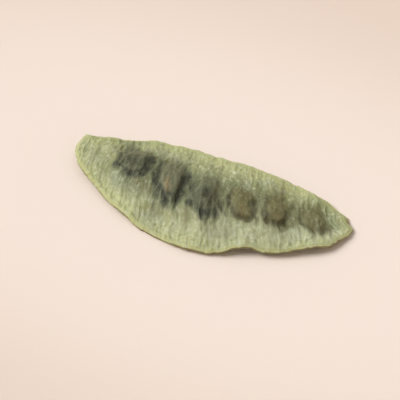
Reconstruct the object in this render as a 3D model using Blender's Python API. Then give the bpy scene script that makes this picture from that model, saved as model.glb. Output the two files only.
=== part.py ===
"""A dried senna pod lying on one face: one thin closed solid, in metres, +Z up.

A flat grid is drawn out to a slab and pressed into the pod's outline. Formulas then give it its arch and its waved
edge, the swellings over six seeds, the pale ribs between them, and the cross wrinkles of both papery faces.
+X runs along the pod to the pointed end, where its stalk broke off. +Y is its straighter edge, which carries the
seeds, and -Y is its bellied edge. The pod touches the surface at three low spots of its edge.
"""

import bmesh
import bpy
import numpy as np

MM = 0.001

# The outline. Stations are shares of the half length, from -1 at the blunt end to 1 at the pointed end.
LENGTH = 46 * MM
STATIONS = np.array([-1.0, -0.8, -0.5, 0.0, 0.5, 0.8, 1.0])
SPINE = np.array([2.6, 1.6, 0.7, -0.2, 0.9, 2.6, 4.2]) * MM
STRAIGHT_SIDE = np.array([7.8, 8.0, 8.9, 9.1, 8.9, 7.8, 7.5]) * MM
BELLIED_SIDE = np.array([8.2, 8.0, 8.7, 9.5, 8.0, 8.7, 11.5]) * MM
WANDERS = ((0.09 * MM, 9, 1.0), (0.06 * MM, 17, 2.3))
STYLE_POINT_ANGLE = 164
STYLE_POINT_HALF_ANGLE = 7
STYLE_POINT_REACH = 0.5 * MM
STALK_SCAR_ANGLE = 12
STALK_SCAR_HALF_ANGLE = 11
STALK_SCAR_DEPTH = 0.5 * MM

# Thickness and height.
EDGE_THICKNESS = 0.66 * MM
RIM_ROUNDING = 0.16 * MM
RIM_BEAD_HEIGHT = 0.07 * MM
RIM_BEAD_PLACE = 0.96
RIM_BEAD_HALF_WIDTH = 0.06
ARCH_HEIGHT = 2.34 * MM
EDGE_LIFT = 0.35 * MM

# Waves of the bellied edge, up and outwards, towards the pointed end.
RIPPLE_HEIGHT = 0.42 * MM
RIPPLE_PITCH = 9.6 * MM
RIPPLE_CREST_X = 9.4 * MM
RIPPLE_CENTRE_X = 11.0 * MM
RIPPLE_REACH = 13.0 * MM

# The three low spots, as angles round the outline and a share of the way out to it, and the flat under each.
FOOT_ANGLES = (15, 135, 255)
FOOT_SHARE = 0.92
FOOT_FLAT_RADIUS = 1.3 * MM
FOOT_BLEND_RADIUS = 4.2 * MM
CLEARANCE = 0.2 * MM

# The seeds, in one row along the spine.
SEED_COUNT = 6
FIRST_SEED_X = -11.6 * MM
SEED_PITCH = 5.85 * MM
SEED_WIDTH = 5.6 * MM
SEED_SPAN_SHARE = 0.9
SEED_RISE = 0.9 * MM
LEAST_RISE_SHARE = 0.9
END_SEED_RISE_SHARE = 0.72
SEED_JITTER = 0.3 * MM
RANDOM_SEED = 7

# Seeds, ribs and wrinkles lean towards the blunt end on the straighter side, and more so near the pointed end.
CROSS_SLANT = 0.27
CROSS_SLANT_GAIN = 0.28

# Ribs between the seeds, cross wrinkles as pitch, height and phase, and the bend of the margins beside each seed.
RIB_HEIGHT = 0.13 * MM
RIB_HALF_WIDTH = 0.75 * MM
RIB_REACH = 6.5 * MM
WRINKLES = ((2.1 * MM, 0.05 * MM, 0.6), (1.5 * MM, 0.035 * MM, 2.1))
WRINKLE_BEND = 0.9
WRINKLE_BEND_LENGTH = 3.1 * MM
WRINKLE_FULL_ACROSS = 4.0 * MM
WRINKLE_SHARE_OVER_SEEDS = 0.45
FACE_PHASE = 2.4
MARGIN_WAVE_HEIGHT = 0.14 * MM
MARGIN_WAVE_ACROSS = 6.5 * MM
MARGIN_WAVE_REACH = 4.0 * MM

# The mesh.
CELLS_ALONG = 110
CELLS_ACROSS = 23
RIM_CROWDING = 0.55
TOP, WALL, UNDER = 1, 0, -1

POD_COLOUR = (0.38, 0.39, 0.21, 1.0)
POD_ROUGHNESS = 0.72


def clear_scene():
    for obj in list(bpy.data.objects):
        bpy.data.objects.remove(obj, do_unlink=True)


def smooth_curve(values, share):
    """The smooth curve through one value at each station, read at each share of the half length."""
    slopes = np.gradient(values, STATIONS)
    left = np.clip(np.searchsorted(STATIONS, share) - 1, 0, len(STATIONS) - 2)
    right = left + 1
    width = STATIONS[right] - STATIONS[left]
    t = (share - STATIONS[left]) / width
    return (
        (1 + 2 * t) * (1 - t) ** 2 * values[left]
        + t * (1 - t) ** 2 * width * slopes[left]
        + t * t * (3 - 2 * t) * values[right]
        + t * t * (t - 1) * width * slopes[right]
    )


def hump(distance):
    """1 at distance 0, falling smoothly to 0 at distance 1 and beyond."""
    near = np.clip(np.abs(distance), 0, 1)
    return (1 - near * near) ** 2


def ease(value):
    """0 up to 0, 1 from 1 on, and smooth in between."""
    value = np.clip(value, 0, 1)
    return value * value * (3 - 2 * value)


def crowd_to_rim(share):
    """Moves evenly spaced shares from -1 to 1 so that they stand closer together near both ends."""
    return share * (1 + RIM_CROWDING * (1 - share * share) / 2)


class Disc:
    """Points of a round disc of radius 1, which the outline and every relief are worked out from."""

    def __init__(self, x, y):
        self.x = x
        self.y = y
        self.radius = np.clip(np.hypot(x, y), 1e-9, 1)
        self.angle = np.degrees(np.arctan2(y, x))

    def angle_from(self, start):
        """The turn from an angle to each point, in degrees, from -180 to 180."""
        return (self.angle - start + 180) % 360 - 180


def pressed_round(square_x, square_y):
    """The disc that a square from -1 to 1 becomes when its corners are pressed in."""
    square_x = crowd_to_rim(square_x)
    square_y = crowd_to_rim(square_y)
    return Disc(square_x * np.sqrt(1 - square_y**2 / 2), square_y * np.sqrt(1 - square_x**2 / 2))


def side_width(disc):
    """The pod's half width at each point, on the point's own side of the spine."""
    straight = smooth_curve(STRAIGHT_SIDE, disc.x)
    bellied = smooth_curve(BELLIED_SIDE, disc.x)
    return np.where(disc.y > 0, straight, bellied)


def ripple(disc):
    """Waves of the bellied edge towards the pointed end, from -1 to 1."""
    x = LENGTH / 2 * disc.x
    reach = hump((x - RIPPLE_CENTRE_X) / RIPPLE_REACH) * np.clip(-2 * disc.y, 0, 1)
    return reach * np.cos(2 * np.pi * (x - RIPPLE_CREST_X) / RIPPLE_PITCH)


def outline_offset(disc):
    """How far the outline is moved outwards at each angle: its wander, the style point and the stalk scar."""
    wander = sum(height * np.sin(count * np.radians(disc.angle) + phase) for height, count, phase in WANDERS)
    style_point = hump(disc.angle_from(STYLE_POINT_ANGLE) / STYLE_POINT_HALF_ANGLE) * STYLE_POINT_REACH
    scar = hump(disc.angle_from(STALK_SCAR_ANGLE) / STALK_SCAR_HALF_ANGLE) * STALK_SCAR_DEPTH
    return wander + style_point - scar


def plan(disc, rounding=0.0):
    """X and Y of each point. The rounding moves points further outwards."""
    width = side_width(disc)
    out_x = disc.x / (LENGTH / 2)
    out_y = disc.y / width
    norm = np.maximum(np.hypot(out_x, out_y), 1e-9)
    offset = (outline_offset(disc) * disc.radius**6 + rounding) / norm
    x = LENGTH / 2 * disc.x + offset * out_x
    y = smooth_curve(SPINE, disc.x) + width * disc.y + offset * out_y
    return x, y + RIPPLE_HEIGHT * ripple(disc) * disc.radius**6


def along_and_across(disc):
    """Coordinates along the pod, with lines of equal value slanting as the seeds do, and across it."""
    across = side_width(disc) * disc.y
    slant = CROSS_SLANT + CROSS_SLANT_GAIN * disc.x
    return LENGTH / 2 * disc.x + slant * across, across


def seeds():
    """Each seed's place along the pod, its place across, and how much it stands out."""
    random = np.random.default_rng(RANDOM_SEED)
    for index in range(SEED_COUNT):
        at_end = index in (0, SEED_COUNT - 1)
        along = FIRST_SEED_X + SEED_PITCH * index + random.uniform(-1, 1) * SEED_JITTER
        across = random.uniform(-1, 1) * SEED_JITTER
        yield along, across, SEED_RISE * (END_SEED_RISE_SHARE if at_end else random.uniform(LEAST_RISE_SHARE, 1))


def seed_swelling(disc):
    """How far each face stands out over the seeds."""
    along, across = along_and_across(disc)
    total = np.zeros_like(along)
    for seed_along, seed_across, rise in seeds():
        share = np.array([seed_along / (LENGTH / 2)])
        half_span = SEED_SPAN_SHARE / 2 * smooth_curve(BELLIED_SIDE, share) * np.sqrt(1 - share**2)
        distance = np.hypot((along - seed_along) / (SEED_WIDTH / 2), (across - seed_across) / half_span)
        near = np.clip(distance, 0, 1) ** 2
        total = np.maximum(total, rise * (1 - near) ** 2 * (1 + near))
    return total


def ribs(disc):
    """Pale ribs that stand up between the seeds."""
    along, across = along_and_across(disc)
    total = np.zeros_like(along)
    for index in range(SEED_COUNT - 1):
        place = FIRST_SEED_X + SEED_PITCH * (index + 0.5)
        total = total + RIB_HEIGHT * hump((along - place) / RIB_HALF_WIDTH)
    return total * hump(across / RIB_REACH)


def wrinkles(disc, face):
    """Cross wrinkles, strongest beside the seeds and gone at the rim. Face 0 and face 1 differ."""
    along, across = along_and_across(disc)
    total = np.zeros_like(along)
    for pitch, height, phase in WRINKLES:
        bend = WRINKLE_BEND * np.sin(across / WRINKLE_BEND_LENGTH + phase + face)
        total = total + height * np.sin(2 * np.pi * along / pitch + bend + FACE_PHASE * face)
    beside = ease(np.abs(across) / WRINKLE_FULL_ACROSS)
    inside = ease((1 - disc.radius) / 0.12)
    return total * inside * (WRINKLE_SHARE_OVER_SEEDS + (1 - WRINKLE_SHARE_OVER_SEEDS) * beside)


def half_thickness(disc, face):
    """How far a face stands off the middle surface."""
    bead = RIM_BEAD_HEIGHT * hump((disc.radius - RIM_BEAD_PLACE) / RIM_BEAD_HALF_WIDTH)
    relief = seed_swelling(disc) + ribs(disc) + wrinkles(disc, face) + bead
    return EDGE_THICKNESS / 2 + np.maximum(relief, 0)


def margin_wave(disc):
    """The margins bend a little with each seed."""
    along, across = along_and_across(disc)
    reach = hump((np.abs(across) - MARGIN_WAVE_ACROSS) / MARGIN_WAVE_REACH)
    return MARGIN_WAVE_HEIGHT * reach * np.cos(2 * np.pi * (along - FIRST_SEED_X) / SEED_PITCH)


def middle_height(disc):
    """Height of the middle surface: the arch, the crests between the low spots, and the waves of the edge."""
    arch = ARCH_HEIGHT * (1 - disc.radius**3) ** 2
    crests = EDGE_LIFT * (1 - np.cos(np.radians(3 * disc.angle_from(FOOT_ANGLES[0])))) * ease(disc.radius)
    waves = RIPPLE_HEIGHT * ripple(disc) * disc.radius**4 + margin_wave(disc)
    return EDGE_THICKNESS / 2 + CLEARANCE + arch + crests + waves


def foot_share(disc):
    """1 on the flat under each low spot, falling to 0 round it."""
    x, y = plan(disc)
    share = np.zeros_like(x)
    for degrees in FOOT_ANGLES:
        angle = np.radians([degrees])
        foot_x, foot_y = plan(Disc(FOOT_SHARE * np.cos(angle), FOOT_SHARE * np.sin(angle)))
        distance = np.hypot(x - foot_x, y - foot_y)
        fade = (FOOT_BLEND_RADIUS - distance) / (FOOT_BLEND_RADIUS - FOOT_FLAT_RADIUS)
        share = np.maximum(share, ease(fade))
    return share


def shaped_points(slab):
    """Places of the slab's points. Each row holds a point's square coordinates and its layer."""
    disc = pressed_round(slab[:, 0], slab[:, 1])
    layer = slab[:, 2]
    x, y = plan(disc, np.where(layer == WALL, RIM_ROUNDING, 0))
    middle, under = middle_height(disc), half_thickness(disc, 0)
    middle = middle - (middle - under) * foot_share(disc)
    z = middle + np.where(layer == TOP, half_thickness(disc, 1), 0) - np.where(layer == UNDER, under, 0)
    points = np.stack([x, y, z], axis=1)
    centre = (points.max(axis=0) + points.min(axis=0)) / 2
    return points - (centre[0], centre[1], 0)


def slab_mesh():
    """A square grid drawn out to a slab, with one more line of points round the middle of its wall."""
    shape = bmesh.new()
    bmesh.ops.create_grid(shape, x_segments=CELLS_ALONG, y_segments=CELLS_ACROSS, size=1)
    bmesh.ops.triangulate(shape, faces=shape.faces, quad_method="FIXED")
    drawn = bmesh.ops.extrude_face_region(shape, geom=shape.faces[:], use_keep_orig=True)
    lower = [item for item in drawn["geom"] if isinstance(item, bmesh.types.BMVert)]
    for vert in shape.verts:
        vert.co.z = TOP
    for vert in lower:
        vert.co.z = UNDER
    wall = [edge for edge in shape.edges if edge.verts[0].co.z != edge.verts[1].co.z]
    bmesh.ops.subdivide_edges(shape, edges=wall, cuts=1)
    bmesh.ops.recalc_face_normals(shape, faces=shape.faces)
    mesh = bpy.data.meshes.new("senna_pod")
    shape.to_mesh(mesh)
    shape.free()
    return mesh


def pod_material():
    material = bpy.data.materials.new("dried_pod")
    material.use_nodes = True
    surface = material.node_tree.nodes["Principled BSDF"]
    surface.inputs["Base Color"].default_value = POD_COLOUR
    surface.inputs["Roughness"].default_value = POD_ROUGHNESS
    surface.inputs["Metallic"].default_value = 0.0
    return material


def build_pod():
    mesh = slab_mesh()
    slab = np.empty(len(mesh.vertices) * 3)
    mesh.vertices.foreach_get("co", slab)
    mesh.vertices.foreach_set("co", shaped_points(slab.reshape(-1, 3)).ravel())
    mesh.update()
    mesh.shade_smooth()
    mesh.materials.append(pod_material())
    pod = bpy.data.objects.new("senna_pod", mesh)
    bpy.context.collection.objects.link(pod)


clear_scene()
build_pod()
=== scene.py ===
"""The looks of a dried senna pod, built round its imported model. Blender 4.5, metres, +Z up.

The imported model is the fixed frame, and one fine mesh stands for its only node. It has the node's own
outline, arch, waved edge, seed swellings and low spots. It adds what is too small for the solid: the net of
veins, papery crinkles, the ragged rim and the seam round it. Its finish is worked out from coordinates and
marks that the mesh carries.
"""

from __future__ import annotations

import logging
import math
from dataclasses import dataclass
from dataclasses import field
from enum import Enum
from itertools import product
from typing import Any
from typing import Callable
from typing import Iterator

import bpy
import numpy as np
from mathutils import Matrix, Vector

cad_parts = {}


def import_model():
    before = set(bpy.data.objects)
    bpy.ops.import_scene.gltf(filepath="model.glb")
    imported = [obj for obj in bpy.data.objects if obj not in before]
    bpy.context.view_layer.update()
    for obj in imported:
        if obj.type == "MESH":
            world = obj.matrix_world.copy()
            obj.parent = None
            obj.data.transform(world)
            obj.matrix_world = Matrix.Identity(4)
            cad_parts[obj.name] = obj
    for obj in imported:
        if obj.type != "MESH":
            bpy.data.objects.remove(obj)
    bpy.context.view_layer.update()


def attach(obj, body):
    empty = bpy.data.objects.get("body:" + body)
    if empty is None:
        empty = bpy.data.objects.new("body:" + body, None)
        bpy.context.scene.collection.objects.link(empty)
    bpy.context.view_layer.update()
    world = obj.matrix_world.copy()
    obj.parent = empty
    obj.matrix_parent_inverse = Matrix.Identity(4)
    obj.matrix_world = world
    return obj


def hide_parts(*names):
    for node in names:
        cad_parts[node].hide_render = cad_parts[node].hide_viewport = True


LOG = logging.getLogger("senna_pod")
NODE = "senna_pod"
MM = 0.001

# FAR is more than any distance measured in cells or seeds, and TINY keeps a divisor off 0.
FAR = 9.0
TINY = 1e-9

Array = np.ndarray
Triple = tuple[float, float, float]
Colour = Triple


class Face(Enum):
    """The two faces of the pod. The value picks a face's own wrinkles and noise."""

    UNDER = 0
    TOP = 1


class Mark(Enum):
    """What the mesh carries at each point for its finish. The value is the attribute's name."""

    GRAIN = "pod_grain"
    RIM = "pod_rim_mm"
    DEPTH = "pod_stain_depth"
    DARKNESS = "pod_stain_darkness"
    RING = "pod_stain_ring"
    CORE = "pod_stain_core"
    SMUDGE_AND_SHADE = "pod_smudge_and_shade"
    BAND = "pod_band"
    PALE = "pod_paleness"
    BROWN = "pod_brown"
    RIB = "pod_rib"
    RELIEF = "pod_relief"
    VEIN = "pod_vein"
    WALL = "pod_wall"
    SCAR = "pod_scar"


def hump(distance: Array) -> Array:
    """1 at distance 0, falling smoothly to 0 at distance 1 and beyond."""
    near = np.clip(np.abs(distance), 0, 1)
    return (1 - near * near) ** 2


def ease(value: Array) -> Array:
    """0 up to 0, 1 from 1 on, and smooth in between."""
    value = np.clip(value, 0, 1)
    return value * value * (3 - 2 * value)


@dataclass(frozen=True)
class Noise:
    """Smooth random waves over a plane, from a lattice of seeded random heights."""

    seed: int
    side: int = 64
    layer_shift: tuple[float, float] = (7.3, 3.1)
    layer_turn: tuple[float, float] = (1.6, 1.2)
    layer_sum: float = 1.6
    cell_margin: float = 0.08

    def wave(self, x: Array, y: Array) -> Array:
        """Heights of one layer of waves.

        Args:
            x: First coordinate of each point, in lattice cells.
            y: Second coordinate of each point, in lattice cells.

        Returns:
            Heights from -1 to 1.
        """
        lattice = np.random.default_rng(self.seed).uniform(-1, 1, (self.side, self.side))
        column, row = np.floor(x).astype(int), np.floor(y).astype(int)
        right, up = ease(x - column), ease(y - row)
        column, row = column % self.side, row % self.side
        next_column, next_row = (column + 1) % self.side, (row + 1) % self.side
        low = lattice[row, column] * (1 - right) + lattice[row, next_column] * right
        high = lattice[next_row, column] * (1 - right) + lattice[next_row, next_column] * right
        return low * (1 - up) + high * up

    def cloud(self, x: Array, y: Array, layers: int = 3) -> Array:
        """Heights of several layers, each turned and half the size and height of the one before.

        Args:
            x: First coordinate of each point, in cells of the largest layer.
            y: Second coordinate of each point, in cells of the largest layer.
            layers: How many layers are added.

        Returns:
            Heights from about -1 to 1.
        """
        total = np.zeros_like(x)
        shift_x, shift_y = self.layer_shift
        ahead, aside = self.layer_turn
        for layer in range(layers):
            total = total + self.wave(x + shift_x * layer, y + shift_y * layer) / 2**layer
            x, y = ahead * x - aside * y, aside * x + ahead * y
        return total / self.layer_sum

    def border(self, x: Array, y: Array) -> Array:
        """How far points are from the nearest border between random cells.

        Args:
            x: First coordinate of each point, in cells.
            y: Second coordinate of each point, in cells.

        Returns:
            0 on a border, and up to about 1 in the middle of a cell.
        """
        size = (self.side, self.side, 2)
        centres = np.random.default_rng(self.seed).uniform(self.cell_margin, 1 - self.cell_margin, size)
        column, row = np.floor(x).astype(int), np.floor(y).astype(int)
        nearest = np.full_like(x, FAR)
        second = nearest
        for right, up in product((-1, 0, 1), repeat=2):
            centre = centres[(row + up) % self.side, (column + right) % self.side]
            distance = np.hypot(column + right + centre[..., 0] - x, row + up + centre[..., 1] - y)
            second = np.minimum(second, np.maximum(nearest, distance))
            nearest = np.minimum(nearest, distance)
        return second - nearest


@dataclass
class Disc:
    """Points of a round disc of radius 1, which the outline and every relief are worked out from."""

    x: Array
    y: Array
    radius: Array = field(init=False)
    angle: Array = field(init=False)

    def __post_init__(self) -> None:
        """Works out each point's radius and its angle in degrees."""
        self.radius = np.clip(np.hypot(self.x, self.y), TINY, 1)
        self.angle = np.degrees(np.arctan2(self.y, self.x))

    def angle_from(self, start: float) -> Array:
        """The turn from an angle to each point, in degrees, from -180 to 180."""
        return (self.angle - start + 180) % 360 - 180


@dataclass(frozen=True)
class Wander:
    """One slow wave of the outline: its height in metres, how many go round the pod, and its phase."""

    height: float
    count: int
    phase: float


@dataclass(frozen=True)
class Outline:
    """The pod's outline in plan.

    Stations are shares of the half length, from the blunt end to the pointed end. The three tuples after them
    hold one value in millimetres for each: where the spine runs, and how wide the pod is on either side.
    """

    length: float = 46 * MM
    stations: tuple[float, ...] = (-1.0, -0.8, -0.5, 0.0, 0.5, 0.8, 1.0)
    spine: tuple[float, ...] = (2.6, 1.6, 0.7, -0.2, 0.9, 2.6, 4.2)
    straight_side: tuple[float, ...] = (7.8, 8.0, 8.9, 9.1, 8.9, 7.8, 7.5)
    bellied_side: tuple[float, ...] = (8.2, 8.0, 8.7, 9.5, 8.0, 8.7, 11.5)
    wanders: tuple[Wander, ...] = (Wander(0.09 * MM, 9, 1.0), Wander(0.06 * MM, 17, 2.3))
    style_point_angle: float = 164
    style_point_half_angle: float = 7
    style_point_reach: float = 0.5 * MM
    scar_angle: float = 12
    scar_half_angle: float = 11
    scar_depth: float = 0.5 * MM
    ripple_height: float = 0.42 * MM
    ripple_pitch: float = 9.6 * MM
    ripple_crest_x: float = 9.4 * MM
    ripple_centre_x: float = 11.0 * MM
    ripple_reach: float = 13.0 * MM
    ripple_full_at: float = 0.5
    ragged_depth: float = 0.16 * MM
    ragged_cells: float = 26
    ragged_mean: float = 0.4
    ragged_seed: int = 41
    rim_power: int = 6

    @property
    def half(self) -> float:
        """Half the pod's length, in metres."""
        return self.length / 2

    def curve(self, values_mm: tuple[float, ...], share: Array) -> Array:
        """The smooth curve through one value at each station.

        Args:
            values_mm: The value at each station, in millimetres.
            share: Where the curve is read, in shares of the half length.

        Returns:
            The curve's value at each share, in metres.
        """
        stations, values = np.array(self.stations), np.array(values_mm) * MM
        slopes = np.gradient(values, stations)
        left = np.clip(np.searchsorted(stations, share) - 1, 0, len(stations) - 2)
        right = left + 1
        width = stations[right] - stations[left]
        t = (share - stations[left]) / width
        return (
            (1 + 2 * t) * (1 - t) ** 2 * values[left]
            + t * (1 - t) ** 2 * width * slopes[left]
            + t * t * (3 - 2 * t) * values[right]
            + t * t * (t - 1) * width * slopes[right]
        )

    def side_width(self, disc: Disc) -> Array:
        """The pod's half width at each point, on the point's own side of the spine."""
        straight = self.curve(self.straight_side, disc.x)
        return np.where(disc.y > 0, straight, self.curve(self.bellied_side, disc.x))

    def ripple(self, disc: Disc) -> Array:
        """Waves of the bellied edge towards the pointed end.

        Args:
            disc: The points.

        Returns:
            Heights from -1 to 1.
        """
        x = self.half * disc.x
        bellied = np.clip(-disc.y / self.ripple_full_at, 0, 1)
        reach = hump((x - self.ripple_centre_x) / self.ripple_reach) * bellied
        return reach * np.cos(2 * np.pi * (x - self.ripple_crest_x) / self.ripple_pitch)

    def offset(self, disc: Disc) -> Array:
        """How far wander, the style point, the stalk scar and a ragged edge move the outline outwards.

        Args:
            disc: The points. Only their angles count.

        Returns:
            Distances in metres.
        """
        turn = np.radians(disc.angle)
        wander = sum(wave.height * np.sin(wave.count * turn + wave.phase) for wave in self.wanders)
        style_point = hump(disc.angle_from(self.style_point_angle) / self.style_point_half_angle)
        scar = hump(disc.angle_from(self.scar_angle) / self.scar_half_angle)
        cell_x, cell_y = self.ragged_cells * np.cos(turn), self.ragged_cells * np.sin(turn)
        ragged = Noise(self.ragged_seed).cloud(cell_x, cell_y) - self.ragged_mean
        fixed = wander + style_point * self.style_point_reach - scar * self.scar_depth
        return fixed + ragged * self.ragged_depth

    def rim_distance(self, disc: Disc) -> Array:
        """About how far each point is from the rim, in metres."""
        steepness = np.hypot(disc.x / self.half, disc.y / self.side_width(disc)) / disc.radius
        return (1 - disc.radius) / np.maximum(steepness, TINY)

    def plan(self, disc: Disc, rounding: Array | float = 0.0) -> tuple[Array, Array]:
        """X and Y of each point.

        Args:
            disc: The points.
            rounding: How much further outwards each point is moved, in metres.

        Returns:
            The points' X and their Y, in metres, before the pod is centred.
        """
        width = self.side_width(disc)
        out_x, out_y = disc.x / self.half, disc.y / width
        norm = np.maximum(np.hypot(out_x, out_y), TINY)
        at_rim = disc.radius**self.rim_power
        offset = (self.offset(disc) * at_rim + rounding) / norm
        x = self.half * disc.x + offset * out_x
        y = self.curve(self.spine, disc.x) + width * disc.y + offset * out_y
        return x, y + self.ripple_height * self.ripple(disc) * at_rim


@dataclass(frozen=True)
class Seed:
    """One seed: its place along and across the pod, how much it stands out, and half its span across."""

    along: float
    across: float
    rise: float
    half_span: float


@dataclass(frozen=True)
class Stain:
    """The dark stain that one seed leaves in the hull over it. Lengths are in millimetres.

    Its place is measured from the seed's centre. Its dark ring is open above, like a U, and three numbers say
    how strongly that shows to the left, to the right and below. The ring is the seed's own stain, and its
    darker right and lower sides are partly painted shade of the seed's swelling. The fill says how dark the
    middle is, beside the ring, and the warmth how brown a spot in it is.
    """

    shift: float
    half_width: float
    reach_up: float
    reach_down: float
    darkness: float
    left: float
    right: float
    below: float
    fill: float
    warmth: float


@dataclass(frozen=True)
class BrownPatch:
    """A small brown patch beside the stains: its place and half sizes in millimetres, and its strength.

    Some are brown streaks in the hull, and the broad ones are painted shade below and between the seeds.
    """

    along: float
    across: float
    half_width: float
    half_length: float
    strength: float


@dataclass(frozen=True)
class SeedRow:
    """The seeds in one row along the spine, and the slanting coordinates that they and the veins follow."""

    outline: Outline
    count: int = 6
    first_x: float = -11.6 * MM
    pitch: float = 5.85 * MM
    width: float = 5.6 * MM
    span_share: float = 0.9
    rise: float = 0.9 * MM
    least_rise_share: float = 0.9
    end_rise_share: float = 0.72
    jitter: float = 0.3 * MM
    random_seed: int = 7
    slant: float = 0.27
    slant_gain: float = 0.28
    rib_height: float = 0.13 * MM
    rib_half_width: float = 0.75 * MM
    rib_reach: float = 6.5 * MM
    groove_depth: float = 0.04 * MM
    groove_place: float = 0.55
    groove_half_width: float = 0.22
    # The right and below numbers run above the left, so each ring is darker to the right and below: partly
    # the seed's own stain, partly painted shade of its swelling.
    stains: tuple[Stain, ...] = (
        Stain(-1.1, 4.0, 6.0, 3.3, 1.0, 0.5, 1.45, 1.5, 0.6, 0.1),
        Stain(-0.2, 3.8, 5.2, 5.0, 1.0, 0.8, 1.3, 1.4, 0.0, 1.0),
        Stain(0.4, 3.4, 3.9, 5.2, 1.0, 0.5, 0.4, 1.4, 0.75, 0.1),
        Stain(0.1, 2.8, 2.7, 3.4, 0.85, 1.0, 1.15, 0.95, 0.0, 0.8),
        Stain(0.2, 3.0, 5.4, 3.4, 0.95, 1.0, 1.25, 1.0, 0.1, 0.2),
        Stain(-0.3, 2.8, 4.4, 2.9, 0.72, 0.7, 0.75, 0.7, 0.1, 0.2),
    )
    # The first two are brown streaks in the hull. The broad last two are painted shade, below the third and
    # fourth seeds and between the first two.
    smudges_and_shade: tuple[BrownPatch, ...] = (
        BrownPatch(-2.1, -4.9, 0.9, 2.8, 1.0),
        BrownPatch(0.9, -5.2, 0.8, 2.2, 0.9),
        BrownPatch(3.0, -5.0, 2.6, 1.9, 0.4),
        BrownPatch(-9.4, -2.8, 2.2, 2.0, 0.7),
    )
    squareness: float = 2.1
    bend_cell: float = 2.4 * MM
    bend_reach: float = 0.85 * MM
    bend_seeds: tuple[int, int] = (61, 67)
    straight_share: float = 0.45
    side_blend: float = 0.8
    below_blend: float = 1.3
    ring_place: float = 0.68
    ring_half_width: float = 0.3
    warm_drop: float = 1.1
    warm_size: float = 0.45
    least_weight: float = 1e-3
    band_reach_up: float = 7.8 * MM
    band_down_share: float = 0.72
    band_down_lean: float = 0.022
    band_from_x: float = -18.5 * MM
    band_to_x: float = 24.0 * MM
    band_end_fade: float = 6.0 * MM
    band_last_share: float = 0.98
    paleness_on_spine: float = 0.5
    pale_over: float = 15.0 * MM
    least_paleness: float = 0.35
    most_paleness: float = 1.6
    # The lean is painted light: the bellied margin grows paler towards the pointed end, where it faces up.
    lit_margin_lean: float = 0.04
    lit_margin_lean_from_x: float = -6.0 * MM
    pale_end_fade: float = 5.0 * MM
    brown_from_x: float = 0.5 * MM
    brown_over: float = 6.0 * MM

    def along_and_across(self, disc: Disc) -> tuple[Array, Array]:
        """Slanting coordinates, which the seeds and the veins follow.

        Args:
            disc: The points.

        Returns:
            The coordinate along the pod, whose lines of equal value slant as the seeds do, and that across.
        """
        across = self.outline.side_width(disc) * disc.y
        slant = self.slant + self.slant_gain * disc.x
        return self.outline.half * disc.x + slant * across, across

    def seeds(self) -> Iterator[Seed]:
        """Draws the seeds at random, always alike.

        Yields:
            Each seed, from the blunt end to the pointed end.
        """
        random = np.random.default_rng(self.random_seed)
        for index in range(self.count):
            at_end = index in (0, self.count - 1)
            along = self.first_x + self.pitch * index + random.uniform(-1, 1) * self.jitter
            across = random.uniform(-1, 1) * self.jitter
            rise = self.rise * (self.end_rise_share if at_end else random.uniform(self.least_rise_share, 1))
            share = np.array([along / self.outline.half])
            room = self.outline.curve(self.outline.bellied_side, share) * np.sqrt(1 - share**2)
            yield Seed(along, across, rise, float(self.span_share / 2 * room[0]))

    def distance(self, disc: Disc, seed: Seed) -> Array:
        """Each point's distance from a seed's centre, where 1 is the seed's own edge."""
        along, across = self.along_and_across(disc)
        return np.hypot((along - seed.along) / (self.width / 2), (across - seed.across) / seed.half_span)

    def swelling(self, disc: Disc) -> Array:
        """How far each face stands out over the seeds, with a shallow groove round each seed's flat.

        Args:
            disc: The points.

        Returns:
            Heights in metres.
        """
        total = np.zeros_like(disc.x)
        for seed in self.seeds():
            distance = self.distance(disc, seed)
            near = np.clip(distance, 0, 1) ** 2
            groove = self.groove_depth * hump((distance - self.groove_place) / self.groove_half_width)
            total = np.maximum(total, seed.rise * (1 - near) ** 2 * (1 + near) - groove)
        return total

    def ribs(self, disc: Disc) -> Array:
        """Pale ribs between the seeds.

        Args:
            disc: The points.

        Returns:
            1 on top of a rib, and 0 beside it.
        """
        along, across = self.along_and_across(disc)
        total = np.zeros_like(along)
        for index in range(self.count - 1):
            place = self.first_x + self.pitch * (index + 0.5)
            total = total + hump((along - place) / self.rib_half_width)
        return total * hump(across / self.rib_reach)

    def stain_parts(self, seed: Seed, stain: Stain, along: Array, across: Array) -> tuple[Array, ...]:
        """The stain over one seed.

        Args:
            seed: The seed.
            stain: Its stain.
            along: Each point's coordinate along the pod, bent by noise.
            across: Each point's coordinate across the pod, bent by noise.

        Returns:
            The depth in the stain, 1 at its centre and 0 at its edge; how much of its dark ring shows; and
            how much of its warm core.
        """
        x = (along - seed.along - stain.shift * MM) / (stain.half_width * MM)
        up = (across - seed.across) / MM
        straight = self.straight_share * stain.reach_up
        above = np.maximum(up - straight, 0) / (stain.reach_up - straight)
        below = np.maximum(-up, 0) / stain.reach_down
        power = self.squareness
        distance = (np.abs(x) ** power + (above + below) ** power) ** (1 / power)
        # The ring is weighted towards the right and below and fades out above: partly the stain's own shape,
        # partly painted shade on the lower and right-hand sides of the seed's swelling.
        side = stain.left + (stain.right - stain.left) * ease(0.5 + self.side_blend * x)
        shown = side + (stain.below - side) * ease(self.below_blend * below)
        shown = shown * (1 - ease(up / stain.reach_up))
        edge = hump((distance - self.ring_place) / self.ring_half_width)
        middle = stain.fill * hump(distance / self.ring_place) * (1 - ease(up / straight))
        warm = hump(np.hypot(x, (up + self.warm_drop) / stain.reach_down) / self.warm_size)
        return 1 - distance, stain.darkness * (shown * edge + middle), stain.warmth * warm

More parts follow.
